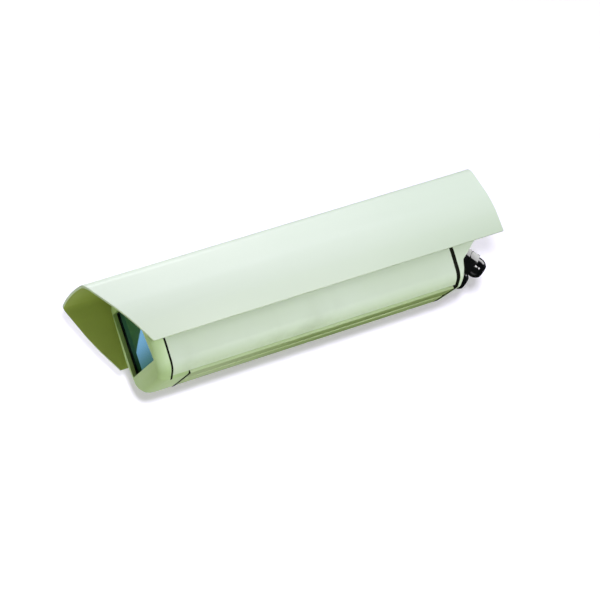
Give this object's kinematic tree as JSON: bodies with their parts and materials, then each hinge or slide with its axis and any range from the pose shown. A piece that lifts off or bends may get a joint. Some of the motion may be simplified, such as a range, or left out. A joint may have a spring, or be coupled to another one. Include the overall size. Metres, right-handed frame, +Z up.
{
  "type": "security camera housing",
  "caption": "Long weatherproof camera housing with a side-hinged body, tapered window end, raked sunshield and slanted rear face with cable glands.",
  "frame": {"origin": "midpoint of the two tapped mounting holes, on the flat underside", "axes": "+Y from the window to the cable glands, +X towards the hinge side, +Z up through the sunshield"},
  "size_m": [0.15, 0.4788, 0.126],
  "materials": {
    "shell_paint": "pale grey-green powder coat, semi-matt",
    "shield_plastic": "near-white moulded sheet, satin",
    "seal_rubber": "black, matt",
    "window_glass": "clear flat pane, blue sky tint",
    "gland_black": "black, glossy",
    "steel": "satin",
    "bare_aluminium": "milled",
    "board_green": "solder mask",
    "terminal_green": "moulded",
    "switch_body": "moulded",
    "spacer_plastic": "moulded",
    "brass": "turned"
  },
  "bodies": {
    "base": {"base_tray": "shell_paint", "base_seal": "seal_rubber", "heater_block": "bare_aluminium", "heater_switch": "switch_body", "terminal_board": "board_green", "board_standoffs": "brass", "board_screws": "steel", "terminal_block": "terminal_green", "ground_screw": "brass", "ground_washer": "steel"},
    "upper_body": {"cover": "shell_paint", "front_cap": "shell_paint", "rear_cap": "shell_paint", "front_seal": "seal_rubber", "rear_seal": "seal_rubber", "window_glass": "window_glass", "window_seal": "seal_rubber", "glass_retainer": "steel", "retainer_screws": "steel", "tie_bolts": "steel", "sunshield": "shield_plastic", "sunshield_screws": "steel", "sunshield_washers": "seal_rubber", "sunshield_spacers": "spacer_plastic", "gland_washer_1": "seal_rubber", "gland_washer_2": "seal_rubber", "gland_body_1": "gland_black", "gland_body_2": "gland_black", "gland_insert_1": "seal_rubber", "gland_insert_2": "seal_rubber", "gland_locknut_1": "gland_black", "gland_locknut_2": "gland_black"},
    "camera_carriage": {"camera_slide": "bare_aluminium", "camera_pad": "seal_rubber"},
    "camera_knob": {"camera_knob": "steel"},
    "closing_screw_1": {"closing_screw_1": "steel"},
    "closing_screw_2": {"closing_screw_2": "steel"},
    "closing_screw_3": {"closing_screw_3": "steel"},
    "gland_nut_1": {"gland_nut_1": "gland_black"},
    "gland_nut_2": {"gland_nut_2": "gland_black"}
  },
  "joints": [
    {"name": "cover_hinge", "type": "hinge", "parent": "base", "child": "upper_body", "pos_m": [0.0365, 0, 0.00815], "axis": [0, 1, 0], "range_deg": [0, 80]},
    {"name": "carriage_slide", "type": "slide", "parent": "base", "child": "camera_carriage", "axis": [0, 1, 0], "range_m": [-0.04, 0.05]},
    {"name": "camera_knob_turn", "type": "hinge", "parent": "camera_carriage", "child": "camera_knob", "pos_m": [0, -0.05, 0.01], "axis": [0, 0, 1], "continuous": true},
    {"name": "closing_screw_1_turn", "type": "hinge", "parent": "base", "child": "closing_screw_1", "pos_m": [-0.0296, -0.13, 0.005], "axis": [0, 0, 1], "continuous": true},
    {"name": "closing_screw_2_turn", "type": "hinge", "parent": "base", "child": "closing_screw_2", "pos_m": [-0.0296, 0, 0.005], "axis": [0, 0, 1], "continuous": true},
    {"name": "closing_screw_3_turn", "type": "hinge", "parent": "base", "child": "closing_screw_3", "pos_m": [-0.0296, 0.13, 0.005], "axis": [0, 0, 1], "continuous": true},
    {"name": "gland_nut_1_turn", "type": "hinge", "parent": "upper_body", "child": "gland_nut_1", "pos_m": [0.026, 0.1959, 0.022], "axis": [0, 0.6153, -0.7883], "continuous": true},
    {"name": "gland_nut_2_turn", "type": "hinge", "parent": "upper_body", "child": "gland_nut_2", "pos_m": [-0.026, 0.1959, 0.022], "axis": [0, 0.6153, -0.7883], "continuous": true}
  ]
}
